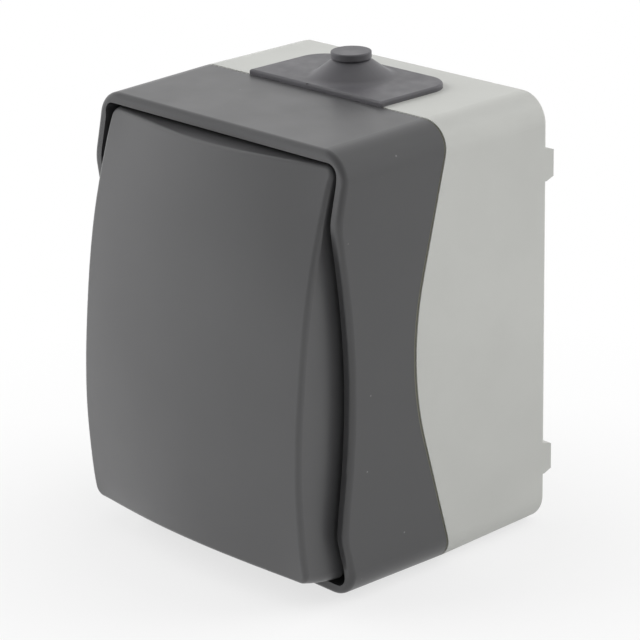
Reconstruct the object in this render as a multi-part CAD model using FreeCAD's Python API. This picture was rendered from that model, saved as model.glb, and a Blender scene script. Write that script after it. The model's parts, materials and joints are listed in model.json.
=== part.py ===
import FreeCAD, Part
import math
import os

# Surface-mounted weatherproof rocker switch. All sizes are in millimetres.
# The wall is the plane Y = 0 and the switch stands out of it towards -Y, with Z up.
# A depth is a distance from the wall, so a point at depth d has Y = -d.

# Box and joint line
box_width = 66.0
box_height = 83.2
box_corner = 5.5
box_wall = 2.2
foot_depth = 1.8
foot_height = 6.2
foot_width = 3.2
foot_inset = 13.0
back_recess = 1.0
back_rim = 4.2
floor_depth = 5.0
rear_edge_round = 0.7
seam_end_depth = 27.3
seam_wave = 8.2
seam_crown_radius = 58.0
seam_end_radius = 22.0
seam_end_inset = 0.6
gasket_thickness = 0.5
gasket_inset = 0.2
tongue_inset = 1.25
tongue_height = 1.6
fit_clearance = 0.05

# Wall fixing and knock-outs
wall_hole_radius = 3.0
wall_hole_spacing = 60.0
wall_pad_radius = 5.2
wall_boss_height = 1.4
knockout_radius = 9.6
knockout_groove = 0.7
knockout_depth = 0.5
knockout_setback = 17.5

# Cable gland
gland_half_width = 17.2
gland_rear_depth = 8.8
gland_corner = 5.6
gland_plate = 1.0
gland_edge_round = 0.45
gland_lap = 2.8
gland_rear_lap = 2.2
gland_inner_plate = 1.4
gland_axis_offset = 0.2
gland_cone_margin = 0.1
gland_foot_run = 0.8
gland_tip_radius = 3.35
gland_cone_height = 4.2
gland_cap_radius = 3.75
gland_cap_height = 1.4
gland_cap_round = 0.25
gland_skin = 0.9
gland_nub_radius = 0.3
gland_nub_offset = 2.0

# Cover frame
frame_draft = 0.65
frame_wall = 2.2
bulkhead_setback = 2.5
bulkhead_thickness = 2.0
rim_lip = 2.6
rim_stand = 11.5
rim_dip = 0.8
rim_dip_share = 0.89
rim_peak = 1.6
rim_peak_inset = 13.4
rim_peak_radius = 9.0
rim_end_inset = 4.8
rim_end_radius = 6.0
rim_round = 1.0
opening_corner = 2.0

# Cover screws and their posts
cover_screw_inset_x = 8.5
cover_screw_inset_z = 10.1
cover_post_radius = 3.6
cover_screw_radius = 1.45
cover_screw_length = 14.0
cover_head_radius = 2.8
cover_head_height = 1.8
cover_seal_height = 0.6
screw_slot_width = 0.8
screw_slot_depth = 0.8

# Window seal
window_half_width = 11.0
window_half_height = 8.4
window_corner = 2.0
seal_flange = 1.0
seal_lap = 1.6
seal_side_room = 2.4
seal_end_room = 1.6

# Rocker
rocker_side_gap = 1.2
rocker_end_gap = 0.7
rocker_corner = 2.0
rocker_wall = 1.9
rocker_stand = 3.5
side_bulge = 4.6
side_power = 2.4
middle_crown = 2.9
end_crown = 3.5
crest_power = 1.3
end_power = 3.0
rocker_edge_round = 1.0
pivot_stand = 6.9
pivot_radius = 1.6
pivot_lobe = 3.2
pivot_pocket = 1.3
pivot_end_play = 0.2
skirt_past_pivot = 0.6
rocker_tilt = 6.7
fork_radius = 8.4
fork_end = 0.9
fork_prong = 1.9
fork_half_width = 4.0
tower_clearance = 2.5
tower_half_width = 7.0
tower_half_height = 5.0
rib_thickness = 1.4
rib_stand = 3.1

# Mechanism housing
strap_setback = 4.3
strap_thickness = 1.2
strap_side_gap = 1.6
strap_half_height = 7.0
strap_corner = 2.0
strap_screw_inset = 3.2
strap_post_radius = 3.4
strap_screw_radius = 1.45
strap_screw_length = 12.0
strap_head_radius = 2.6
strap_head_height = 1.7
mech_half_width = 18.0
mech_half_height = 18.0
mech_wall = 1.6
mech_corner = 1.5
mech_room = 9.6
mech_floor_thickness = 3.0
mech_cover_height = 3.2
rivet_inset = 3.0
rivet_radius = 1.2
rivet_head_radius = 2.0
rivet_head_height = 0.8
rivet_pillar_radius = 2.4
cheek_inner = 9.3
cheek_width = 2.7
cheek_half_height = 3.0
cheek_cap = 2.2
cheek_round = 1.5

# Toggle
lever_length = 4.2
toggle_hub_radius = 2.0
toggle_trunnion_radius = 1.4
toggle_end_play = 0.3
lever_nose_radius = 1.0
lever_neck = 0.6
lever_half_width = 3.4
slot_clearance = 0.1
barrel_radius = 3.1
barrel_length = 6.4
barrel_room = 2.3
bore_radius = 2.0
bore_top = 1.2
spring_radius = 1.45
spring_wire = 0.25
spring_turns = 4
plunger_length = 4.6
plunger_gap = 0.1

# Contacts
contact_post = 2.6
contact_rise = 1.6
contact_thickness = 1.0
contact_half_width = 2.5
contact_half_length = 11.2
contact_ridge_radius = 0.9
contact_ratio = 1.2
tip_level = 9.2
tip_radius = 1.6
tip_height = 1.0
tip_sphere = 3.0
tip_gap = 0.05
strip_thickness = 0.8
strip_half_width = 2.6
feed_post_drop = 0.2
feed_post_half_height = 2.2
clamp_inset = 8.0
clamp_half_width = 3.5
clamp_half_length = 5.0
clamp_end_gap = 0.9
clamp_height = 7.0
wire_radius = 1.5
wire_stand = 2.6
wire_entry_radius = 2.1
terminal_screw_radius = 1.2
terminal_head_radius = 2.1
terminal_head_height = 1.5

# Places that follow from the sizes above, from the wall outwards
half_width = box_width / 2
half_height = box_height / 2
foot_level = half_height - foot_inset
seam_crown_depth = seam_end_depth + seam_wave
seam_end_level = half_height - seam_end_inset
gland_front_depth = seam_end_depth + gasket_thickness - fit_clearance
gland_half_depth = (seam_end_depth - gland_rear_depth) / 2
gland_axis_depth = seam_end_depth - gland_half_depth + gland_axis_offset
gland_cone_radius = gland_half_depth - gland_axis_offset - gland_edge_round - gland_cone_margin
bulkhead_rear = seam_crown_depth + bulkhead_setback
bulkhead_front = bulkhead_rear + bulkhead_thickness
rim_end_depth = bulkhead_front + rim_stand
rim_dip_depth = rim_end_depth - rim_dip
rim_peak_depth = rim_end_depth + rim_peak
rim_rise = rim_peak_depth - rim_dip_depth
rim_peak_level = half_height - rim_peak_inset
rim_dip_radius = rim_dip_share * (rim_peak_level ** 2 / rim_rise + rim_rise) / 2 - rim_peak_radius
rim_end_level = half_height - rim_end_inset
frame_front_depth = rim_peak_depth + 2 * rim_round
opening_half_width = half_width - rim_lip
opening_half_height = half_height - rim_lip
cover_screw_x = half_width - cover_screw_inset_x
cover_screw_z = half_height - cover_screw_inset_z
rocker_half_width = opening_half_width - rocker_side_gap
rocker_end_radius = opening_half_height - rocker_end_gap
rocker_edge_depth = rim_end_depth + rocker_stand
pivot_depth = bulkhead_front + pivot_stand
rocker_half_height = math.sqrt(rocker_end_radius ** 2 - (rocker_edge_depth - pivot_depth) ** 2)
rocker_skirt_depth = pivot_depth - skirt_past_pivot
tower_depth = bulkhead_front + seal_flange + tower_clearance
rib_depth = pivot_depth + rib_stand
fork_depth = pivot_depth - fork_radius
fork_gap = lever_nose_radius + slot_clearance
seal_half_width = fork_half_width + seal_side_room
seal_half_height = fork_gap + fork_prong + seal_end_room
toggle_depth = fork_depth - lever_length
toggle_tilt = rocker_tilt * fork_radius / lever_length
toggle_slot = barrel_radius + barrel_room
cheek_outer = cheek_inner + cheek_width
cheek_top = toggle_depth + cheek_cap
strap_rear = toggle_depth - strap_setback
strap_front = strap_rear + strap_thickness
strap_half_width = half_width - box_wall - strap_side_gap
strap_screw_x = strap_half_width - strap_screw_inset
cover_front = strap_rear + mech_cover_height
mech_floor = strap_rear - mech_room
mech_rear = mech_floor - mech_floor_thickness
rivet_x = mech_half_width - rivet_inset
strip_front = mech_floor + strip_thickness
contact_pivot_depth = strip_front + contact_post
contact_front = contact_pivot_depth + contact_rise
contact_tilt = rocker_tilt * contact_ratio
plunger_reach = toggle_depth - contact_front - plunger_gap
feed_post_top = contact_pivot_depth - feed_post_drop
clamp_x = mech_half_width - clamp_inset
clamp_high = mech_half_height - mech_wall - clamp_end_gap
clamp_low = clamp_high - 2 * clamp_half_length
clamp_screw_z = clamp_high - clamp_half_length
clamp_front = strip_front + clamp_height
wire_depth = strip_front + wire_stand
V = FreeCAD.Vector


def pt(x, depth, z):
    """A point from its place across, its depth from the wall and its height."""
    return V(x, -depth, z)


def block(x0, x1, d0, d1, z0, z1):
    """A plain block between two values of each direction."""
    return Part.makeBox(x1 - x0, d1 - d0, z1 - z0, V(x0, -d1, z0))


def rod(x, z, radius, d0, d1):
    """A round bar square to the wall, from depth d0 to depth d1."""
    return Part.makeCylinder(radius, d1 - d0, pt(x, d0, z), V(0, -1, 0))


def cross_rod(depth, z, radius, x0, x1):
    """A round bar across the switch, along X."""
    return Part.makeCylinder(radius, x1 - x0, pt(x0, depth, z), V(1, 0, 0))


def rounded_wire(half_x, half_z, radius, depth):
    """A rectangle with round corners, parallel to the wall."""
    edges = []
    k = radius * math.sqrt(0.5)
    corners = [(1, 1), (-1, 1), (-1, -1), (1, -1)]
    for i in range(4):
        sx, sz = corners[i]
        cx = sx * (half_x - radius)
        cz = sz * (half_z - radius)
        on_side = pt(sx * half_x, depth, cz)
        on_end = pt(cx, depth, sz * half_z)
        middle = pt(cx + sx * k, depth, cz + sz * k)
        first, last = (on_side, on_end) if i % 2 == 0 else (on_end, on_side)
        edges.append(Part.Arc(first, middle, last).toShape())
        nx, nz = corners[(i + 1) % 4]
        if i % 2 == 0:
            after = pt(nx * (half_x - radius), depth, nz * half_z)
        else:
            after = pt(nx * half_x, depth, nz * (half_z - radius))
        edges.append(Part.makeLine(last, after))
    return Part.Wire(edges)


def rounded_prism(half_x, half_z, radius, d0, d1):
    """A block with round corners, square to the wall."""
    face = Part.Face(rounded_wire(half_x, half_z, radius, d0))
    return face.extrude(V(0, d0 - d1, 0))


def box_prism(inset, d0, d1):
    """The box's outline, drawn in by an inset, between two depths."""
    radius = max(box_corner - inset, 1.0)
    return rounded_prism(half_width - inset, half_height - inset, radius, d0, d1)


def inner_tangent(c1, r1, c2, r2, side):
    """Where a straight line that crosses between two circles touches each of them."""
    dz = c2[0] - c1[0]
    dd = c2[1] - c1[1]
    turn = math.atan2(dd, dz) + side * math.acos((r1 + r2) / math.hypot(dz, dd))
    n = (math.cos(turn), math.sin(turn))
    p1 = (c1[0] + r1 * n[0], c1[1] + r1 * n[1])
    p2 = (c2[0] - r2 * n[0], c2[1] - r2 * n[1])
    return p1, p2


def arc_in_profile(centre, radius, start, end, mirror):
    """A circular stretch of a side profile, between two points on the circle."""
    a0 = math.atan2(start[1] - centre[1], start[0] - centre[0])
    a1 = math.atan2(end[1] - centre[1], end[0] - centre[0])
    a = (a0 + a1) / 2
    middle = (centre[0] + radius * math.cos(a), centre[1] + radius * math.sin(a))
    points = [pt(0, p[1], mirror * p[0]) for p in (start, middle, end)]
    return Part.Arc(points[0], points[1], points[2]).toShape()


def line_in_profile(start, end, mirror):
    """A straight stretch of a side profile."""
    return Part.makeLine(pt(0, start[1], mirror * start[0]), pt(0, end[1], mirror * end[0]))


def region_in_front(edges, end_depth):
    """All space in front of a side profile, as a solid as wide as the box."""
    far = box_height
    front = 2 * frame_front_depth
    for mirror in (1, -1):
        edges.append(line_in_profile((far, end_depth), (far, front), mirror))
    edges.append(Part.makeLine(pt(0, front, far), pt(0, front, -far)))
    face = Part.Face(Part.Wire(Part.__sortEdges__(edges)))
    face.translate(V(-box_width, 0, 0))
    return face.extrude(V(2 * box_width, 0, 0))


def in_front_of_seam(shift):
    """Space in front of the wavy joint line: a round crown, straight flanks and flat ends."""
    crown = (0.0, seam_crown_depth + shift)
    end = (seam_end_level, seam_end_depth + shift)
    c1 = (0.0, crown[1] - seam_crown_radius)
    c2 = (end[0], end[1] + seam_end_radius)
    p1, p2 = inner_tangent(c1, seam_crown_radius, c2, seam_end_radius, 1)
    edges = []
    for mirror in (1, -1):
        edges.append(arc_in_profile(c1, seam_crown_radius, crown, p1, mirror))
        edges.append(line_in_profile(p1, p2, mirror))
        edges.append(arc_in_profile(c2, seam_end_radius, p2, end, mirror))
        edges.append(line_in_profile(end, (box_height, end[1]), mirror))
    return region_in_front(edges, end[1])


def in_front_of_rim():
    """Space in front of the frame's rim: a wide dip, a peak near each corner and flat ends."""
    dip = (0.0, rim_dip_depth)
    peak = (rim_peak_level, rim_peak_depth)
    end = (rim_end_level, rim_end_depth)
    c1 = (0.0, rim_dip_depth + rim_dip_radius)
    c2 = (peak[0], rim_peak_depth - rim_peak_radius)
    c3 = (end[0], rim_end_depth + rim_end_radius)
    p1, p2 = inner_tangent(c1, rim_dip_radius, c2, rim_peak_radius, -1)
    p3, p4 = inner_tangent(c2, rim_peak_radius, c3, rim_end_radius, 1)
    edges = []
    for mirror in (1, -1):
        edges.append(arc_in_profile(c1, rim_dip_radius, dip, p1, mirror))
        edges.append(line_in_profile(p1, p2, mirror))
        edges.append(arc_in_profile(c2, rim_peak_radius, p2, p3, mirror))
        edges.append(line_in_profile(p3, p4, mirror))
        edges.append(arc_in_profile(c3, rim_end_radius, p4, end, mirror))
        edges.append(line_in_profile(end, (box_height, end[1]), mirror))
    return region_in_front(edges, end[1])


def gland_outline(half_x, rear, front, corner, z0, z1):
    """A plate lying on the box's top: square at the front, round at its two rear corners."""
    k = corner * (1 - math.sqrt(0.5))
    pts = [V(-half_x, -front, z0), V(half_x, -front, z0), V(half_x, -rear - corner, z0)]
    edges = [Part.makeLine(pts[0], pts[1]), Part.makeLine(pts[1], pts[2])]
    a = V(half_x - corner, -rear, z0)
    edges.append(Part.Arc(pts[2], V(half_x - k, -rear - k, z0), a).toShape())
    b = V(corner - half_x, -rear, z0)
    edges.append(Part.makeLine(a, b))
    c = V(-half_x, -rear - corner, z0)
    edges.append(Part.Arc(b, V(k - half_x, -rear - k, z0), c).toShape())
    edges.append(Part.makeLine(c, pts[0]))
    return Part.Face(Part.Wire(edges)).extrude(V(0, 0, z1 - z0))


def gland_slot(extra):
    """The slot in the box's top wall that the gland slides into, or the gland's neck in it."""
    half_x = gland_half_width - gland_lap + extra
    rear = gland_rear_depth + gland_rear_lap - extra
    corner = gland_corner - gland_lap + extra
    return gland_outline(half_x, rear, 2 * seam_end_depth, corner, half_height - box_wall, half_height)


def make_rear_box():
    """Moulded box: shell, feet, wall pads, posts, top slot and knock-out rings."""
    rim = foot_depth
    outer = box_prism(0, rim, frame_front_depth)
    rear_edges = [e for e in outer.Edges if abs(e.BoundBox.YMax + rim) < 1e-6 and e.BoundBox.YLength < 1e-6]
    outer = outer.makeFillet(rear_edge_round, rear_edges)
    box = outer.cut(in_front_of_seam(0.0))
    tongue = box_prism(tongue_inset, floor_depth, frame_front_depth)
    tongue = tongue.cut(in_front_of_seam(gasket_thickness + tongue_height))
    box = box.fuse(tongue)
    box = box.cut(box_prism(box_wall, floor_depth, frame_front_depth))
    box = box.cut(box_prism(back_rim, 0, rim + back_recess))
    adds = []
    for sz in (1, -1):
        hole_z = sz * wall_hole_spacing / 2
        adds.append(rod(0, hole_z, wall_pad_radius, 0, floor_depth + wall_boss_height))
        for sx in (1, -1):
            adds.append(make_foot(sx, sz))
        post_x = -sz * cover_screw_x
        adds.append(rod(post_x, sz * cover_screw_z, cover_post_radius, floor_depth, bulkhead_rear))
    for sx in (1, -1):
        adds.append(rod(sx * strap_screw_x, 0, strap_post_radius, floor_depth, strap_rear))
        x0, x1 = sorted((sx * strap_screw_x, sx * (half_width - box_wall / 2)))
        adds.append(block(x0, x1, floor_depth, strap_rear, -rib_thickness / 2, rib_thickness / 2))
    box = box.fuse(adds)
    cuts = [gland_slot(0.0)]
    for sz in (1, -1):
        cuts.append(rod(0, sz * wall_hole_spacing / 2, wall_hole_radius, -1, 2 * floor_depth))
        top = bulkhead_rear
        hole = cover_screw_radius + fit_clearance
        cuts.append(rod(-sz * cover_screw_x, sz * cover_screw_z, hole, top - cover_screw_length, top + 1))
    for sx in (1, -1):
        hole = strap_screw_radius + fit_clearance
        cuts.append(rod(sx * strap_screw_x, 0, hole, strap_rear - strap_screw_length, strap_rear + 1))
    back = rim + back_recess
    ring = rod(0, 0, knockout_radius, back - 1, back + knockout_depth)
    cuts.append(ring.cut(rod(0, 0, knockout_radius - knockout_groove, 0, floor_depth)))
    low = pt(0, knockout_setback, -half_height)
    ring = Part.makeCylinder(knockout_radius, knockout_depth, low, V(0, 0, 1))
    cuts.append(ring.cut(Part.makeCylinder(knockout_radius - knockout_groove, 2, low, V(0, 0, 1))))
    return box.cut(cuts)


def make_foot(sx, sz):
    """A foot with bevelled ends on the rear edge of the box's side."""
    bevel = foot_depth / 3
    z0 = foot_level - foot_height / 2
    z1 = foot_level + foot_height / 2
    root = floor_depth - box_wall / 2
    profile = [(0, z0 + bevel), (0, z1 - bevel), (foot_depth, z1), (root, z1), (root, z0), (foot_depth, z0)]
    points = [pt(sx * half_width, d, sz * z) for d, z in profile]
    face = Part.Face(Part.makePolygon(points + points[:1]))
    return face.extrude(V(-sx * foot_width, 0, 0))


def make_cable_gland():
    """Rubber gland: plate on the top, neck in the slot, inner plate, flared cone and closed cap."""
    top = half_height
    under = half_height - box_wall
    front = seam_end_depth
    plate = gland_outline(gland_half_width, gland_rear_depth, gland_front_depth, gland_corner,
                          top, top + gland_plate)
    upper = [e for e in plate.Edges if e.BoundBox.ZMin > top + gland_plate - 1e-6]
    plate = plate.makeFillet(gland_edge_round, upper)
    neck = gland_slot(-fit_clearance).common(block(-half_width, half_width, 0, front, under, top))
    inner = gland_outline(gland_half_width, gland_rear_depth, front, gland_corner,
                          under - gland_inner_plate, under)
    z2 = top + gland_cone_height
    z3 = z2 + gland_cap_height
    cone = make_gland_cone(top + gland_plate, z2, z3)
    nub = V(-gland_nub_offset, -gland_front_depth + gland_nub_radius, top)
    nub = Part.makeCylinder(gland_nub_radius, gland_plate, nub, V(0, 0, 1))
    gland = plate.fuse([neck, inner, cone, nub])
    axis = V(0, -gland_axis_depth, under - gland_inner_plate)
    wide = gland_tip_radius + 2 * gland_skin
    hollow = Part.makeCone(wide, gland_tip_radius - gland_skin, z2 - axis.z, axis, V(0, 0, 1))
    tip = Part.makeCylinder(gland_tip_radius - gland_skin, z3 - gland_skin - axis.z, axis, V(0, 0, 1))
    return gland.cut([hollow, tip]).removeSplitter()


def make_gland_cone(z1, z2, z3):
    """The gland's turned part: a straight cone that runs out softly into the plate, and a cap."""
    corner = gland_cone_radius - gland_foot_run
    slope = math.atan2(z2 - z1, corner - gland_tip_radius)
    bend = gland_foot_run / math.tan(slope / 2)
    foot = V(gland_cone_radius, 0, z1)
    bow = foot + V(-bend * math.sin(slope / 2), 0, bend * (1 - math.cos(slope / 2)))
    start = V(corner - gland_foot_run * math.cos(slope), 0, z1 + gland_foot_run * math.sin(slope))
    head = V(gland_tip_radius, 0, z2)
    low = V(gland_cap_radius, 0, z2)
    high = V(gland_cap_radius, 0, z3)
    base = z1 - gland_plate / 2
    edges = [Part.Arc(foot, bow, start).toShape()]
    outline = [start, head, low, high, V(0, 0, z3), V(0, 0, base), V(gland_cone_radius, 0, base), foot]
    for i in range(7):
        edges.append(Part.makeLine(outline[i], outline[i + 1]))
    cone = Part.Face(Part.Wire(edges)).revolve(V(0, 0, 0), V(0, 0, 1), 360)
    rims = [e for e in cone.Edges if e.BoundBox.XLength > gland_cap_radius and e.BoundBox.ZLength < 1e-6]
    rims = [e for e in rims if abs(e.BoundBox.XMax - gland_cap_radius) < 0.1]
    cone = cone.makeFillet(gland_cap_round, rims)
    cone.translate(V(0, -gland_axis_depth, 0))
    return cone


def make_frame_gasket():
    """Thin rubber ring between box and frame, with the same wave as the joint line."""
    ring = box_prism(gasket_inset, floor_depth, frame_front_depth)
    ring = ring.cut(box_prism(tongue_inset, 0, 2 * frame_front_depth))
    ring = ring.common(in_front_of_seam(0.0))
    return ring.cut(in_front_of_seam(gasket_thickness))


def make_front_frame():
    """Cover frame: drafted shell between the joint line and the wavy rim, with an inner wall."""
    fx = half_width - frame_draft
    fz = half_height - frame_draft
    outer = Part.makeWedge(-fx, -frame_front_depth, -fz, -half_height, -half_width,
                           fx, -seam_end_depth, fz, half_height, half_width)
    corners = [e for e in outer.Edges if e.BoundBox.YLength > frame_draft]
    outer = outer.makeFillet(box_corner, corners)
    frame = outer.cut(in_front_of_rim())
    rim = []
    for e in frame.Edges:
        b = e.BoundBox
        crosses = b.XLength > half_width and b.ZMin > -rim_end_level - 1 and b.ZMax < rim_end_level + 1
        if b.YMax < -rim_dip_depth + 0.5 and not crosses:
            rim.append(e)
    frame = frame.makeFillet(rim_round, rim)
    frame = frame.common(in_front_of_seam(gasket_thickness))
    groove = box_prism(tongue_inset - fit_clearance, 0, frame_front_depth)
    frame = frame.cut(groove.cut(in_front_of_seam(gasket_thickness + tongue_height + 6 * fit_clearance)))
    frame = frame.cut(box_prism(frame_wall, 0, bulkhead_rear))
    opening = rounded_prism(opening_half_width, opening_half_height, opening_corner,
                            bulkhead_front, 2 * rim_peak_depth)
    window = rounded_prism(window_half_width, window_half_height, window_corner, 0, bulkhead_front + 1)
    cuts = [opening, window]
    for s in (1, -1):
        hole = cover_screw_radius + 4 * fit_clearance
        cuts.append(rod(-s * cover_screw_x, s * cover_screw_z, hole, 0, bulkhead_front + 1))
        reach = opening_half_width + pivot_pocket
        x0, x1 = sorted((s * (opening_half_width - 1), s * reach))
        cuts.append(cross_rod(pivot_depth, 0, pivot_radius + fit_clearance, x0, x1))
    return frame.cut(cuts)


def slotted_screw(x, z, seat, radius, length, head_radius, head_height):
    """A pan-head screw with a straight slot, its head seated at a depth."""
    top = seat + head_height
    head = rod(x, z, head_radius, seat, top)
    rim = [e for e in head.Edges if abs(e.BoundBox.YMin + top) < 1e-6 and e.BoundBox.YLength < 1e-6]
    head = head.makeFillet(0.4 * head_height, rim)
    screw = head.fuse(rod(x, z, radius, seat - length, seat))
    half = screw_slot_width / 2
    slot = block(x - head_radius, x + head_radius, top - screw_slot_depth, top + 1, z - half, z + half)
    return screw.cut(slot)


def make_cover_screws():
    """Two screws on a diagonal that hold the frame to the box."""
    seat = bulkhead_front + cover_seal_height
    length = seat - bulkhead_rear + cover_screw_length - 1
    screws = []
    for s in (1, -1):
        screws.append(slotted_screw(-s * cover_screw_x, s * cover_screw_z, seat, cover_screw_radius, length,
                                    cover_head_radius, cover_head_height))
    return Part.makeCompound(screws)


def make_cover_screw_seals():
    """A rubber washer under each cover screw."""
    rings = []
    for s in (1, -1):
        x = -s * cover_screw_x
        z = s * cover_screw_z
        ring = rod(x, z, cover_head_radius, bulkhead_front, bulkhead_front + cover_seal_height)
        rings.append(ring.cut(rod(x, z, cover_screw_radius + fit_clearance, 0, 2 * bulkhead_front)))
    return Part.makeCompound(rings)


def make_window_seal():
    """Rubber grommet that grips the edge of the inner wall's window."""
    wide = window_half_width + seal_lap
    high = window_half_height + seal_lap
    rear = rounded_prism(wide, high, window_corner, bulkhead_rear - seal_flange, bulkhead_rear)
    front = rounded_prism(wide, high, window_corner, bulkhead_front, bulkhead_front + seal_flange)
    neck = rounded_prism(window_half_width - fit_clearance, window_half_height - fit_clearance,
                         window_corner, bulkhead_rear, bulkhead_front)
    hole = rounded_prism(seal_half_width, seal_half_height, window_corner / 2, 0, 2 * bulkhead_front)
    return rear.fuse([front, neck]).cut(hole)


def rocker_front(x, z):
    """Depth of the rocker's front before it is tilted: bulged sides, an arc across the middle
    and a crest along the top and bottom edges that runs out softly at the corners."""
    u = abs(z) / rocker_half_height
    bulge = side_bulge * (1 - u ** side_power)
    arc = middle_crown * (1 - (x / rocker_half_width) ** 2)
    crest = end_crown * max(math.cos(math.pi * x / rocker_half_width / 2), 0.0) ** crest_power
    share = min(u, 1.0) ** end_power
    return rocker_edge_depth + bulge + (1 - share) * arc + share * crest


def rocker_face(drop):
    """The rocker's front as one smooth face, moved back by a drop."""
    columns = 9
    rows = 9
    grid = []
    for i in range(columns):
        x = (2 * i / (columns - 1) - 1) * (rocker_half_width + 1)
        line = []
        for j in range(rows):
            z = (2 * j / (rows - 1) - 1) * (rocker_half_height + 1)
            line.append(pt(x, rocker_front(x, z) - drop, z))
        grid.append(line)
    surface = Part.BSplineSurface()
    surface.interpolate(grid)
    return surface.toShape()


def make_rocker():
    """Pillow-shaped rocker: shell with ends turned about the pivots, lobes, ribs and a fork."""
    far = 2 * rocker_edge_depth
    lift = V(0, -far, 0)
    outer = cross_rod(pivot_depth, 0, rocker_end_radius, -rocker_half_width, rocker_half_width)
    outer = outer.cut(block(-box_width, box_width, 0, rocker_skirt_depth, -box_height, box_height))
    outer = outer.cut(rocker_face(0.0).extrude(lift))
    outer = round_rocker(outer)
    inner = rounded_prism(rocker_half_width - rocker_wall, rocker_half_height - rocker_wall,
                          rocker_corner / 2, rocker_skirt_depth - 1, far)
    above = rocker_face(rocker_wall).extrude(lift)
    inner = inner.cut(above)
    shell = outer.cut(inner)
    adds = []
    for s in (1, -1):
        x0, x1 = sorted((s * (rocker_half_width - rocker_wall), s * rocker_half_width))
        lobe = cross_rod(pivot_depth, 0, pivot_lobe, x0, x1)
        adds.append(lobe)
        tip = opening_half_width + pivot_pocket - pivot_end_play
        x0, x1 = sorted((s * (rocker_half_width - rocker_wall), s * tip))
        adds.append(cross_rod(pivot_depth, 0, pivot_radius, x0, x1))
    base = tower_depth
    tower = block(-tower_half_width, tower_half_width, base, far, -tower_half_height, tower_half_height)
    for s in (1, -1):
        z0, z1 = sorted((s * fork_gap, s * (fork_gap + fork_prong)))
        prong = block(-fork_half_width, fork_half_width, fork_depth - fork_end, base + 2, z0, z1)
        adds.append(prong)
    room_x = tower_half_width - rib_thickness
    room_z = tower_half_height - rib_thickness
    tower = tower.cut(block(-room_x, room_x, base + 2, far, -room_z, room_z))
    ribs = [tower]
    half = rib_thickness / 2
    ribs.append(block(-rocker_half_width + 1, -tower_half_width, rib_depth, far, -half, half))
    ribs.append(block(tower_half_width, rocker_half_width - 1, rib_depth, far, -half, half))
    ribs.append(block(-half, half, rib_depth, far, tower_half_height, rocker_half_height - 1))
    ribs.append(block(-half, half, rib_depth, far, -rocker_half_height + 1, -tower_half_height))
    above = rocker_face(rocker_wall / 2).extrude(lift)
    for rib in ribs:
        adds.append(rib.cut(above))
    rocker = shell.fuse(adds)
    rocker.rotate(pt(0, pivot_depth, 0), V(1, 0, 0), -rocker_tilt)
    return rocker


def round_rocker(solid):
    """Round the rocker's four corners, then the edge all round its front."""
    flat = [e for e in solid.Edges if e.BoundBox.XLength < 1e-6]
    corners = [e for e in flat if e.BoundBox.YLength > rocker_stand and e.BoundBox.ZLength < rocker_stand]
    solid = solid.makeFillet(rocker_corner, corners)
    front = [e for e in solid.Edges if e.BoundBox.YMax < -rim_end_depth]
    return solid.makeFillet(rocker_edge_round, front)


def make_support_strap():
    """Steel strap across the box, with a window for the toggle and four holes."""
    strap = block(-strap_half_width, strap_half_width, strap_rear, strap_front,
                  -strap_half_height, strap_half_height)
    corners = [e for e in strap.Edges if e.BoundBox.XLength < 1e-6 and e.BoundBox.ZLength < 1e-6]
    strap = strap.makeFillet(strap_corner, corners)
    cuts = [block(-cheek_outer, cheek_outer, 0, 2 * strap_rear, -toggle_slot, toggle_slot)]
    for s in (1, -1):
        cuts.append(rod(s * strap_screw_x, 0, strap_screw_radius + 2 * fit_clearance, 0, 2 * strap_rear))
        cuts.append(rod(s * rivet_x, 0, rivet_radius + fit_clearance, 0, 2 * strap_rear))
    return strap.cut(cuts)


def make_strap_screws():
    """Two screws that hold the strap on its posts."""
    screws = []
    length = strap_thickness + strap_screw_length - 1
    for s in (1, -1):
        screws.append(slotted_screw(s * strap_screw_x, 0, strap_front, strap_screw_radius, length,
                                    strap_head_radius, strap_head_height))
    return Part.makeCompound(screws)


def make_mechanism_body():
    """Insulating cup behind the strap: floor, walls, rivet pillars and wire entries."""
    body = rounded_prism(mech_half_width, mech_half_height, mech_corner, mech_rear, strap_rear)
    room = rounded_prism(mech_half_width - mech_wall, mech_half_height - mech_wall, mech_corner,
                         mech_floor, 2 * strap_rear)
    body = body.cut(room)
    pillars = []
    for s in (1, -1):
        pillar = rod(s * rivet_x, 0, rivet_pillar_radius, mech_floor, strap_rear)
        x0, x1 = sorted((s * rivet_x, s * (mech_half_width - mech_wall / 2)))
        web = block(x0, x1, mech_floor, strap_rear, -rivet_pillar_radius, rivet_pillar_radius)
        pillars.append(pillar.fuse(web))
    body = body.fuse(pillars)
    cuts = []
    for s in (1, -1):
        cuts.append(rod(s * rivet_x, 0, rivet_radius + fit_clearance, 0, 2 * strap_rear))
        sink = mech_rear + rivet_head_height
        cuts.append(rod(s * rivet_x, 0, rivet_head_radius + fit_clearance, 0, sink))
        start = V(s * clamp_x, -wire_depth, mech_half_height - 2 * mech_wall)
        cuts.append(Part.makeCylinder(wire_entry_radius, 4 * mech_wall, start, V(0, 0, 1)))
    return body.cut(cuts)


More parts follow.
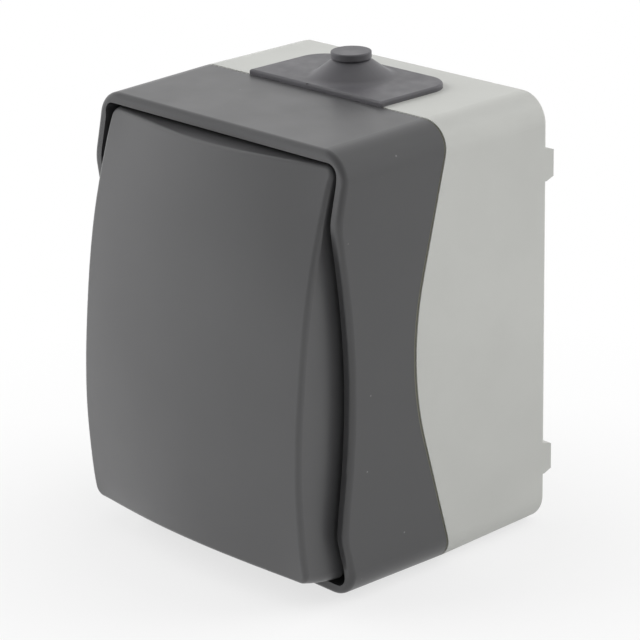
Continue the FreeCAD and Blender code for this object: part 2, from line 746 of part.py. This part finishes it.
def make_mechanism_cover():
    """Front half of the insulating housing: lid over the strap with bearing cheeks for the toggle."""
    lid = rounded_prism(mech_half_width, mech_half_height, mech_corner, strap_rear, cover_front)
    cuts = [block(-box_width, box_width, 0, strap_front, -strap_half_height - fit_clearance,
                  strap_half_height + fit_clearance)]
    cheeks = []
    for s in (1, -1):
        x0, x1 = sorted((s * cheek_inner, s * cheek_outer))
        cheek = block(x0, x1, cover_front - 1, cheek_top, -cheek_half_height, cheek_half_height)
        tops = [e for e in cheek.Edges if abs(e.BoundBox.YMin + cheek_top) < 1e-6 and e.BoundBox.XLength > 1]
        tops = [e for e in tops if e.BoundBox.YLength < 1e-6]
        cheeks.append(cheek.makeFillet(cheek_round, tops))
    lid = lid.fuse(cheeks)
    reach = cheek_inner
    cuts.append(block(-reach, reach, 0, 2 * cover_front, -toggle_slot, toggle_slot))
    bearing = toggle_trunnion_radius + fit_clearance
    cuts.append(cross_rod(toggle_depth, 0, bearing, -cheek_outer - 1, cheek_outer + 1))
    for s in (1, -1):
        cuts.append(rod(s * rivet_x, 0, rivet_radius + fit_clearance, 0, 2 * cover_front))
        access = terminal_head_radius + 8 * fit_clearance
        cuts.append(rod(s * clamp_x, clamp_screw_z, access, 0, 2 * cover_front))
    return lid.cut(cuts)


def make_mechanism_rivets():
    """Two rivets through cover, strap and body."""
    rivets = []
    for s in (1, -1):
        shank = rod(s * rivet_x, 0, rivet_radius, mech_rear, cover_front)
        rear = rod(s * rivet_x, 0, rivet_head_radius, mech_rear, mech_rear + rivet_head_height)
        front = rod(s * rivet_x, 0, rivet_head_radius, cover_front, cover_front + rivet_head_height)
        rivets.append(shank.fuse([rear, front]))
    return Part.makeCompound(rivets)


def make_toggle():
    """Toggle: hub on two trunnions, a lever with a round nose in front and a spring barrel behind."""
    reach = cheek_inner - toggle_end_play
    hub = cross_rod(toggle_depth, 0, toggle_hub_radius, -reach, reach)
    pin = cross_rod(toggle_depth, 0, toggle_trunnion_radius, -cheek_outer, cheek_outer)
    neck = block(-lever_half_width, lever_half_width, toggle_depth, fork_depth, -lever_neck, lever_neck)
    nose = cross_rod(fork_depth, 0, lever_nose_radius, -lever_half_width, lever_half_width)
    barrel = rod(0, 0, barrel_radius, toggle_depth - barrel_length, toggle_depth)
    toggle = hub.fuse([pin, neck, nose, barrel])
    toggle = toggle.cut(rod(0, 0, bore_radius, 0, toggle_depth - bore_top))
    return tilt_toggle(toggle)


def tilt_toggle(shape):
    """Turn a piece of the toggle to its place with the rocker's top pressed in."""
    shape.rotate(pt(0, toggle_depth, 0), V(1, 0, 0), toggle_tilt)
    return shape


def make_toggle_spring():
    """Coil spring in the toggle's barrel, from the bore's end to the plunger."""
    top = toggle_depth - bore_top - spring_wire
    low = toggle_depth - plunger_reach + plunger_length + spring_wire
    helix = Part.makeHelix((top - low) / spring_turns, top - low, spring_radius)
    corners = []
    for i in range(9):
        a = math.radians(45 * i)
        corners.append(V(spring_radius + spring_wire * math.cos(a), 0, spring_wire * math.sin(a)))
    ring = Part.makePolygon(corners)
    spring = Part.Wire(helix).makePipeShell([ring], True, True)
    spring.rotate(V(0, 0, 0), V(1, 0, 0), 90)
    spring.translate(pt(0, low, 0))
    return tilt_toggle(spring)


def make_spring_plunger():
    """Plunger with a round nose that slides in the toggle's barrel."""
    radius = bore_radius - fit_clearance
    tip = toggle_depth - plunger_reach
    stem = rod(0, 0, radius, tip + radius, tip + plunger_length)
    nose = Part.makeSphere(radius, pt(0, tip + radius, 0))
    return tilt_toggle(stem.fuse(nose))


def tilt_contact(shape):
    """Turn a piece of the seesaw contact to its closed place."""
    shape.rotate(pt(0, contact_pivot_depth, 0), V(1, 0, 0), -contact_tilt)
    return shape


def make_moving_contact():
    """Seesaw contact: a strip with a half-round ridge behind it to rock on."""
    rear = contact_front - contact_thickness
    strip = block(-contact_half_width, contact_half_width, rear, contact_front,
                  -contact_half_length, contact_half_length)
    ridge = cross_rod(contact_pivot_depth, 0, contact_ridge_radius, -contact_half_width, contact_half_width)
    return tilt_contact(strip.fuse(ridge))


def make_moving_contact_tip():
    """Domed silver tip behind the upper end of the seesaw contact."""
    rear = contact_front - contact_thickness
    tip = rod(0, tip_level, tip_radius, rear - tip_height, rear)
    ball = Part.makeSphere(tip_sphere, pt(0, rear - tip_height + tip_sphere, tip_level))
    return tilt_contact(tip.common(ball))


def fixed_tip_place():
    """Height and front depth of the fixed tip, from where the closed moving tip reaches."""
    a = math.radians(contact_tilt)
    ahead = contact_front - contact_thickness - tip_height + tip_sphere - contact_pivot_depth
    level = tip_level * math.cos(a) + ahead * math.sin(a)
    reach = contact_pivot_depth + ahead * math.cos(a) - tip_level * math.sin(a) - tip_sphere
    return level, reach - tip_gap


def make_feed_terminal():
    """Feed conductor: a strip on the floor with a grooved post that the seesaw rocks on."""
    z1 = clamp_high - 1
    half = strip_half_width
    post_z = feed_post_half_height
    strip = block(-clamp_x - half, half, mech_floor, strip_front, -post_z, post_z)
    leg = block(-clamp_x - half, -clamp_x + half, mech_floor, strip_front, -post_z, z1)
    post = block(-half, half, mech_floor, feed_post_top, -post_z, post_z)
    groove = cross_rod(contact_pivot_depth, 0, contact_ridge_radius + fit_clearance, -half - 1, half + 1)
    return strip.fuse([leg, post]).cut(groove).removeSplitter()


def make_load_terminal():
    """Load conductor: an angled strip on the floor with a pad under the fixed tip."""
    level, reach = fixed_tip_place()
    half = strip_half_width
    strip = block(-half, clamp_x + half, mech_floor, strip_front, level - half, level + half)
    leg = block(clamp_x - half, clamp_x + half, mech_floor, strip_front, clamp_low, clamp_high - 1)
    return strip.fuse(leg).removeSplitter()


def make_fixed_contact_tip():
    """Silver tip on the load conductor."""
    level, reach = fixed_tip_place()
    return rod(0, level, tip_radius, strip_front, reach)


def make_terminal_clamps():
    """Two brass clamps, each with a wire hole from above and a screw hole from the front."""
    clamps = []
    for s in (1, -1):
        x = s * clamp_x
        clamp = block(x - clamp_half_width, x + clamp_half_width, strip_front, clamp_front,
                      clamp_low, clamp_high)
        wire = Part.makeCylinder(wire_radius, box_height, V(x, -wire_depth, clamp_low + 2), V(0, 0, 1))
        hole = rod(x, clamp_screw_z, terminal_screw_radius + fit_clearance, wire_depth, clamp_front + 1)
        clamps.append(clamp.cut([wire, hole]))
    return Part.makeCompound(clamps)


def make_terminal_screws():
    """The two screws of the wire clamps."""
    screws = []
    length = clamp_front - wire_depth - 0.5
    for s in (1, -1):
        screws.append(slotted_screw(s * clamp_x, clamp_screw_z, clamp_front, terminal_screw_radius, length,
                                    terminal_head_radius, terminal_head_height))
    return Part.makeCompound(screws)


nodes = {
    "rear_box": make_rear_box,
    "cable_gland": make_cable_gland,
    "frame_gasket": make_frame_gasket,
    "front_frame": make_front_frame,
    "cover_screws": make_cover_screws,
    "cover_screw_seals": make_cover_screw_seals,
    "window_seal": make_window_seal,
    "rocker": make_rocker,
    "support_strap": make_support_strap,
    "strap_screws": make_strap_screws,
    "mechanism_body": make_mechanism_body,
    "mechanism_cover": make_mechanism_cover,
    "mechanism_rivets": make_mechanism_rivets,
    "toggle": make_toggle,
    "toggle_spring": make_toggle_spring,
    "spring_plunger": make_spring_plunger,
    "moving_contact": make_moving_contact,
    "moving_contact_tip": make_moving_contact_tip,
    "feed_terminal": make_feed_terminal,
    "load_terminal": make_load_terminal,
    "fixed_contact_tip": make_fixed_contact_tip,
    "terminal_clamps": make_terminal_clamps,
    "terminal_screws": make_terminal_screws,
}

os.makedirs("parts", exist_ok=True)
for name, make in nodes.items():
    shape = make()
    shape.exportStep("parts/" + name + ".step")
    box = shape.BoundBox
    size = (round(box.XLength, 2), round(box.YLength, 2), round(box.ZLength, 2))
    print(name, len(shape.Solids), "solids, valid", shape.isValid(), size, "volume", round(shape.Volume, 1))
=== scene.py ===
# %% [markdown]
# This lesson dresses a surface-mounted weatherproof rocker switch for a studio picture.
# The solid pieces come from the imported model, in metres, with the wall at Y = 0, the rocker
# facing -Y and Z up. They stay where they are. What is added here is everything the eye
# reads as real: the finishes, the light, the floor and the camera.

# %% Load the solid pieces
import json
import math
import bpy
import numpy as np
from mathutils import Matrix, Vector


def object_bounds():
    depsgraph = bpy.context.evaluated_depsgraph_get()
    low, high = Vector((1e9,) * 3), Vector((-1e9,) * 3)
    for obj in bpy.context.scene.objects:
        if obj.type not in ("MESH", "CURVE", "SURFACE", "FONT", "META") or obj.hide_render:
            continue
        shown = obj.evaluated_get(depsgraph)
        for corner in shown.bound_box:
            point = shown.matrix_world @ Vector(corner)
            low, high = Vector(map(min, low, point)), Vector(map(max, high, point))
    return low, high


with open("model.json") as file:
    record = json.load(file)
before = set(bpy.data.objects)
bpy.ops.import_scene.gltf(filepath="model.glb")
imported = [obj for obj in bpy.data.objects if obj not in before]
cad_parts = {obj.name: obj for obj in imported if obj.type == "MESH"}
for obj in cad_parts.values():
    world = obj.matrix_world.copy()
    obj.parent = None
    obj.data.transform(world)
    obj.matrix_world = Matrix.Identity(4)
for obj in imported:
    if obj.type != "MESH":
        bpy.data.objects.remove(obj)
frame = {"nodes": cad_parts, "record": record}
nodes = frame["nodes"]
cad_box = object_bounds()
MM = 0.001
print("nodes", len(nodes), "box", [round(v / MM, 1) for c in cad_box for v in c])

# %% [markdown]
# The camera repeats the photograph's view. It could be moved by eye until the picture fits, but
# a picture of a box tells where it was taken from: its edges run to vanishing points, and the
# known width gives the distance. The view found that way is 47 degrees round to the right and
# 20 degrees up, from about half a metre, with a long lens and a slight roll to one side. A
# camera's own axes are right, up and backwards, so its matrix is written from those three
# directions instead of from turns about X, Y and Z.

# %% Place the camera
AZIMUTH = 46.91
ELEVATION = 20.14
ROLL = math.radians(-1.35)
AIM = Vector((-0.81, -26.8, -2.86)) * MM
DISTANCE = 483.76 * MM
SENSOR_MM = 36
FOCAL_MM = 146.07
CLIP_NEAR = 0.01
CLIP_FAR = 50


def way_to(azimuth, elevation):
    """The direction at degrees round from the front to the right, and degrees up from level."""
    a = math.radians(azimuth)
    e = math.radians(elevation)
    return Vector((math.sin(a) * math.cos(e), -math.cos(a) * math.cos(e), math.sin(e)))


back = way_to(AZIMUTH, ELEVATION)
level_right = way_to(AZIMUTH + 90, 0)
level_up = back.cross(level_right)
right = level_right * math.cos(ROLL) + level_up * math.sin(ROLL)
up = level_up * math.cos(ROLL) - level_right * math.sin(ROLL)

lens = bpy.data.cameras.new("studio_camera")
lens.sensor_width = SENSOR_MM
lens.sensor_fit = "HORIZONTAL"
lens.lens = FOCAL_MM
lens.clip_start = CLIP_NEAR
lens.clip_end = CLIP_FAR
camera = bpy.data.objects.new("studio_camera", lens)
bpy.context.scene.collection.objects.link(camera)
place = Matrix((right, up, back)).transposed().to_4x4()
place.translation = AIM + back * DISTANCE
camera.matrix_world = place
bpy.context.scene.camera = camera
print("camera at", [round(v / MM, 1) for v in place.translation])

# %% [markdown]
# The light is a plain white studio. One strong lamp would do to see the switch, but it would
# throw hard shadows that the photograph does not have, so the light comes from wide lamps and a
# pale dome. A wide lamp from the left, low and a little in front, gives the rocker its soft
# slope from light to dark. Two weaker lamps stand behind: one high up for the top, one lower
# for the right side wall. The level is chosen so that a colour renders about as it is written,
# with about one unit of light on what the camera sees. A lamp of P watts at distance d gives a
# facing surface P / (pi * d)^2 of that unit, so the helper takes the level it should reach and
# works out the watts. The lamps are kept out of reflections, so that the satin surfaces mirror
# the dome and the floor alone.

# %% Light the studio
bpy.context.scene.view_settings.view_transform = "Standard"
LAMP_DISTANCE = 2.0


def soft_lamp(name, azimuth, elevation, level, width, height):
    """A wide lamp seen from the object at an azimuth and elevation, giving that level of light."""
    away = way_to(azimuth, elevation)
    lamp = bpy.data.lights.new(name, "AREA")
    lamp.shape = "RECTANGLE"
    lamp.size = width
    lamp.size_y = height
    lamp.energy = level * (math.pi * LAMP_DISTANCE) ** 2
    obj = bpy.data.objects.new(name, lamp)
    obj.visible_glossy = False
    bpy.context.scene.collection.objects.link(obj)
    turn = away.to_track_quat("Z", "Y").to_matrix().to_4x4()
    obj.matrix_world = Matrix.Translation(AIM + away * LAMP_DISTANCE) @ turn
    return obj


lamps = [
    soft_lamp("left_softbox", azimuth=-61, elevation=18, level=1.36, width=2.0, height=1.6),
    soft_lamp("top_softbox", azimuth=150, elevation=75, level=0.29, width=2.4, height=2.4),
    soft_lamp("right_fill", azimuth=153, elevation=22, level=0.77, width=1.6, height=1.6),
]
print("lamps", [(o.name, round(o.data.energy, 2)) for o in lamps])

# %% [markdown]
# The dome, the floor and every finish are graphs of nodes. They could be drawn by hand in the
# shader editor. In a script the same few lines come back for each node, so helpers take them
# up: one adds a node with its settings and numbers, and the others are small graphs that are
# needed more than once.

# %% Helpers for graphs of nodes


def add_node(tree, kind, numbers=None, **settings):
    """A node of that kind, with its settings, and with numbers on the sockets that are named."""
    node = tree.nodes.new(kind)
    for setting, value in settings.items():
        setattr(node, setting, value)
    for socket, value in (numbers or {}).items():
        node.inputs[socket].default_value = value
    return node


def maths(tree, operation, first, second):
    """One value worked out from two."""
    node = add_node(tree, "ShaderNodeMath", operation=operation)
    tree.links.new(first, node.inputs[0])
    tree.links.new(second, node.inputs[1])
    return node.outputs[0]


def spread(tree, value, low, high, start=0.3, end=0.7):
    """Maps start to end onto low to high. The usual range of a noise is 0.3 to 0.7."""
    node = add_node(tree, "ShaderNodeMapRange",
                    {"From Min": start, "From Max": end, "To Min": low, "To Max": high})
    tree.links.new(value, node.inputs["Value"])
    return node.outputs["Result"]


def mix_shaders(tree, share, first, second):
    """The first shader where the share is 0, the second where it is 1, and a mix between."""
    node = add_node(tree, "ShaderNodeMixShader")
    tree.links.new(share, node.inputs["Fac"])
    tree.links.new(first.outputs[0], node.inputs[1])
    tree.links.new(second.outputs[0], node.inputs[2])
    return node.outputs[0]


def seen_ray(tree):
    """1 for a ray that shows the surface to the camera, straight, mirrored or through glass."""
    path = add_node(tree, "ShaderNodeLightPath").outputs
    straight_or_mirrored = maths(tree, "MAXIMUM", path["Is Camera Ray"], path["Is Glossy Ray"])
    return maths(tree, "MAXIMUM", straight_or_mirrored, path["Is Transmission Ray"])


print("graph helpers ready")

# %% [markdown]
# The dome is one world shader with two strengths. What lights the object is the dim one. What
# the camera sees, directly or mirrored in a glossy or clear surface, is the white one. The Light
# Path node tells the two apart, so the white ground never adds light of its own. A real studio
# is darker high up in front, where no white sheet hangs: so in reflections the white fades down
# to DARK_SIDE that way. It draws the soft shade under the rocker's top edge and the light lip
# above it.

# %% Give the world its dome
WHITE = (1, 1, 1, 1)
DOME = 0.34
DARK_SIDE = 0.45
DARK_WAY = way_to(azimuth=0, elevation=40)
FADE_START = 0.2
FADE_END = 0.8

world = bpy.data.worlds.new("white_studio")
bpy.context.scene.world = world
world.use_nodes = True
dome = world.node_tree
dome.nodes.clear()
dim = add_node(dome, "ShaderNodeBackground", {"Color": WHITE, "Strength": DOME})
white = add_node(dome, "ShaderNodeBackground", {"Color": WHITE})

ray_way = add_node(dome, "ShaderNodeTexCoord")
ahead = add_node(dome, "ShaderNodeVectorMath", {1: DARK_WAY}, operation="DOT_PRODUCT")
dome.links.new(ray_way.outputs["Generated"], ahead.inputs[0])
fade = spread(dome, ahead.outputs["Value"], 1.0, DARK_SIDE, FADE_START, FADE_END)
straight = add_node(dome, "ShaderNodeLightPath").outputs["Is Camera Ray"]
dome.links.new(maths(dome, "MAXIMUM", straight, fade), white.inputs["Strength"])

dome_out = add_node(dome, "ShaderNodeOutputWorld")
dome.links.new(mix_shaders(dome, seen_ray(dome), dim, white), dome_out.inputs["Surface"])
print("dome", DOME, "darkest in reflections", DARK_SIDE)

# %% [markdown]
# The floor is a white sheet just under the switch. A curved sheet that runs up behind is common
# in studios, but here the white dome already closes the view, so one flat square is enough. It
# is large, so that its edge lies far out in every view.

# %% Lay the floor
FLOOR_HALF = 6.0
FLOOR_GAP = 0.02 * MM
floor_z = cad_box[0].z - FLOOR_GAP
corners = np.array([(-1, -1), (1, -1), (1, 1), (-1, 1)], float) * FLOOR_HALF
points = np.column_stack([corners, np.full(len(corners), floor_z)])
sheet = bpy.data.meshes.new("white_floor")
sheet.from_pydata(points.tolist(), [], [(0, 1, 2, 3)])
floor = bpy.data.objects.new("white_floor", sheet)
bpy.context.scene.collection.objects.link(floor)
print("floor at", round(floor_z / MM, 2), "mm")

# %% [markdown]
# The sheet takes the switch's soft shadow as any matt sheet does. Part of its white is its own,
# for the camera and for reflections alone, so that it is white without more light. That share
# grows with the distance from the middle of the switch, from NEAR_WHITE under it to all of it
# further out. So the shadow stays, and the open floor runs into the white dome without a line.

# %% Whiten the floor
FLOOR_GREY = 0.8
NEAR_WHITE = 0.7
NEAR_RADIUS = 45 * MM
OPEN_RADIUS = 115 * MM

floor_white = bpy.data.materials.new("floor_white")
floor_white.use_nodes = True
paint = floor_white.node_tree
paint.nodes.clear()
matt = add_node(paint, "ShaderNodeBsdfDiffuse", {"Color": (FLOOR_GREY, FLOOR_GREY, FLOOR_GREY, 1)})
own = add_node(paint, "ShaderNodeEmission", {"Color": WHITE, "Strength": 1.0})

spot = add_node(paint, "ShaderNodeTexCoord")
middle = (AIM.x, AIM.y, floor_z)
far = add_node(paint, "ShaderNodeVectorMath", {1: middle}, operation="DISTANCE")
paint.links.new(spot.outputs["Object"], far.inputs[0])
grown = spread(paint, far.outputs["Value"], NEAR_WHITE, 1.0, NEAR_RADIUS, OPEN_RADIUS)
own_share = maths(paint, "MULTIPLY", seen_ray(paint), grown)

floor_out = add_node(paint, "ShaderNodeOutputMaterial")
paint.links.new(mix_shaders(paint, own_share, matt, own), floor_out.inputs["Surface"])
sheet.materials.append(floor_white)
print("floor white from", NEAR_WHITE, "to 1 at", round(OPEN_RADIUS / MM), "mm")

# %% [markdown]
# Every finish starts from the same few steps, so they come first as helpers: a shader with its
# plain numbers set on its own sockets, a noise that lies in the object's own space and keeps
# its scale in millimetres, and ways to let a noise move the tone, the gloss and the height of
# the surface. Noise could also come from a picture, but that would need a map for each piece
# and would show its dots close up.

# %% Helpers for the finishes
IOR = 1.55


def new_finish(name, roughness, metallic=0.0):
    """A material with one shader on it, ready for its patterns."""
    mat = bpy.data.materials.new(name)
    mat.use_nodes = True
    tree = mat.node_tree
    shader = tree.nodes["Principled BSDF"]
    shader.inputs["Roughness"].default_value = roughness
    shader.inputs["Metallic"].default_value = metallic
    shader.inputs["IOR"].default_value = IOR
    where = add_node(tree, "ShaderNodeTexCoord").outputs["Object"]
    return mat, tree, shader, where


def noise(tree, where, period_mm, detail, stretch=(1, 1, 1)):
    """Cloudy noise whose clouds are about period_mm across, drawn out along an axis if wanted."""
    drawn = add_node(tree, "ShaderNodeMapping", {"Scale": stretch})
    clouds = add_node(tree, "ShaderNodeTexNoise",
                      {"Scale": 1 / MM / period_mm, "Detail": detail})
    tree.links.new(where, drawn.inputs["Vector"])
    tree.links.new(drawn.outputs[0], clouds.inputs["Vector"])
    return clouds.outputs["Fac"]


def two_tone(tree, share, first, second):
    """A colour between two, by a share."""
    node = add_node(tree, "ShaderNodeMix", data_type="RGBA")
    node.inputs["A"].default_value = (*first, 1)
    node.inputs["B"].default_value = (*second, 1)
    tree.links.new(share, node.inputs["Factor"])
    return node.outputs["Result"]


def mottled(tree, colour, clouds, change):
    """The colour a little darker and a little lighter, as the clouds go."""
    dark = [c * (1 - change) for c in colour]
    light = [min(c * (1 + change), 1) for c in colour]
    return two_tone(tree, spread(tree, clouds, 0, 1), dark, light)


def vary_gloss(tree, shader, pattern, roughness, change):
    """A roughness that the pattern moves up and down by that change."""
    rough = spread(tree, pattern, roughness - change, roughness + change)
    tree.links.new(rough, shader.inputs["Roughness"])


def bump(tree, shader, height, strength, depth_mm):
    """Small hills of a depth in millimetres, from a pattern."""
    hills = add_node(tree, "ShaderNodeBump", {"Strength": strength, "Distance": depth_mm * MM})
    tree.links.new(height, hills.inputs["Height"])
    tree.links.new(hills.outputs[0], shader.inputs["Normal"])


print("finish helpers ready")

# %% [markdown]
# A few grains of dust settle on the dark frame, which no hand wipes as it does the rocker. They
# could be scattered as tiny pieces of their own, but a pale speck in the colour is enough. Space
# is filled with cells, and where the middle of a cell happens to lie on the surface, the colour
# gets a speck. Few middles do, so the specks stay rare and keep no pattern.

# %% Dust
DUST_CELLS_PER_METRE = 170
SPECK_CORE = 0.016
SPECK_EDGE = 0.04


def dusted(tree, where, tone, brightness):
    """The tone with rare specks, where the middle of a cell in space lies on the surface."""
    cells = add_node(tree, "ShaderNodeTexVoronoi", {"Scale": DUST_CELLS_PER_METRE})
    tree.links.new(where, cells.inputs["Vector"])
    near = spread(tree, cells.outputs["Distance"], 1, 0, SPECK_CORE, SPECK_EDGE)
    speck = two_tone(tree, near, (0, 0, 0), (brightness, brightness, brightness))
    total = add_node(tree, "ShaderNodeMix", data_type="RGBA", blend_type="ADD")
    total.inputs["Factor"].default_value = 1
    tree.links.new(tone, total.inputs["A"])
    tree.links.new(speck, total.inputs["B"])
    return total.outputs["Result"]


print("specks up to", round(SPECK_EDGE / DUST_CELLS_PER_METRE / MM, 2), "mm in radius")

# %% [markdown]
# The box, the frame and the rocker are moulded in a satin plastic. Close up such a surface is
# not smooth: the mould is spark-eroded, which leaves a fine even grain, and the melt flows in
# slightly, which leaves faint broad clouds of tone and gloss. The grain could be cut into the
# mesh, but that would take millions of faces, and at this size a bump looks the same. The
# finish has both at their real sizes: grain of a third of a millimetre, and clouds of one to
# two centimetres.

# %% Satin moulded plastic


def moulded_plastic(name, colour, roughness, dust=0.0):
    """Satin plastic with mould grain, faint clouds of tone and gloss, and specks if wanted."""
    mat, tree, shader, where = new_finish(name, roughness)
    flow = noise(tree, where, period_mm=22, detail=4)
    tone = mottled(tree, colour, flow, change=0.035)
    if dust:
        tone = dusted(tree, where, tone, dust)
    tree.links.new(tone, shader.inputs["Base Color"])
    gloss = noise(tree, where, period_mm=9, detail=5)
    vary_gloss(tree, shader, gloss, roughness, change=0.03)
    grain = noise(tree, where, period_mm=0.35, detail=2)
    bump(tree, shader, grain, strength=0.25, depth_mm=0.006)
    return mat


finishes = {
    "box_plastic": moulded_plastic("light_grey_plastic", (0.51, 0.515, 0.49), 0.48),
    "frame_plastic": moulded_plastic("frame_grey_plastic", (0.056, 0.056, 0.058), 0.34, dust=0.12),
    "rocker_plastic": moulded_plastic("rocker_grey_plastic", (0.073, 0.073, 0.075), 0.33),
    "insulator_plastic": moulded_plastic("insulator_white", (0.72, 0.70, 0.64), 0.5),
    "toggle_plastic": moulded_plastic("toggle_white", (0.68, 0.67, 0.63), 0.45),
}
print("plastics", sorted(finishes))

# %% [markdown]
# Rubber is softer and duller than the plastic: a mottled dark tone, a high roughness and a
# slightly lumpy skin. The plastic's finish with other numbers would come close, but its grain
# is too fine for rubber, so the rubber has a function of its own. The gland's rubber leans a
# little to violet, the gasket along the joint shows as a thin line of olive grey, and the seals
# inside are nearly black.

# %% Rubber


def rubber(name, colour, roughness):
    """Dull rubber with a mottled tone and a slightly lumpy skin."""
    mat, tree, shader, where = new_finish(name, roughness)
    blotches = noise(tree, where, period_mm=6, detail=5)
    tree.links.new(mottled(tree, colour, blotches, change=0.08), shader.inputs["Base Color"])
    gloss = noise(tree, where, period_mm=3, detail=4)
    vary_gloss(tree, shader, gloss, roughness, change=0.06)
    lumps = noise(tree, where, period_mm=1.2, detail=4)
    bump(tree, shader, lumps, strength=0.3, depth_mm=0.02)
    return mat


rubbers = {
    "gland_rubber": rubber("gland_rubber", (0.077, 0.075, 0.082), 0.44),
    "gasket_rubber": rubber("olive_gasket_rubber", (0.135, 0.133, 0.103), 0.6),
    "seal_rubber": rubber("black_seal_rubber", (0.02, 0.02, 0.02), 0.6),
}
finishes.update(rubbers)
print("rubbers", sorted(rubbers))

# %% [markdown]
# The metal inside is stamped or turned. Stamped strip keeps the fine lines of its rolling. A
# shader with a direction of its own could draw them, but it would need that direction on every
# face, so the lines are a noise drawn out along X, which moves both the gloss and the height.
# Zinc plating adds faint pale patches, brass is warm and brighter, and the contact tips are
# silver.

# %% Metals


def metal(name, colour, roughness, lines=0.3):
    """Metal with patches of tone, and fine lines along X in its gloss and height."""
    mat, tree, shader, where = new_finish(name, roughness, metallic=1.0)
    patches = noise(tree, where, period_mm=5, detail=4)
    tree.links.new(mottled(tree, colour, patches, change=0.07), shader.inputs["Base Color"])
    rolled = noise(tree, where, period_mm=0.25, detail=3, stretch=(0.06, 1, 1))
    vary_gloss(tree, shader, rolled, roughness, change=0.08)
    bump(tree, shader, rolled, strength=lines, depth_mm=0.004)
    return mat


metals = {
    "plated_steel": metal("zinc_plated_steel", (0.62, 0.62, 0.60), 0.34),
    "spring_steel": metal("drawn_spring_steel", (0.50, 0.50, 0.50), 0.30),
    "brass": metal("bright_brass", (0.72, 0.55, 0.25), 0.28),
    "contact_silver": metal("contact_silver", (0.80, 0.80, 0.78), 0.22, lines=0.1),
}
finishes.update(metals)
print("metals", sorted(metals))

# %% [markdown]
# Each piece could be given its finish by name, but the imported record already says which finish
# each one takes. One loop puts it on, so that no piece is left with the plain colour it came
# with.

# %% Dress every solid piece
for row in frame["record"]["subparts"]:
    mesh = nodes[row["node"]].data
    mesh.materials.clear()
    mesh.materials.append(finishes[row["material_slot"]])
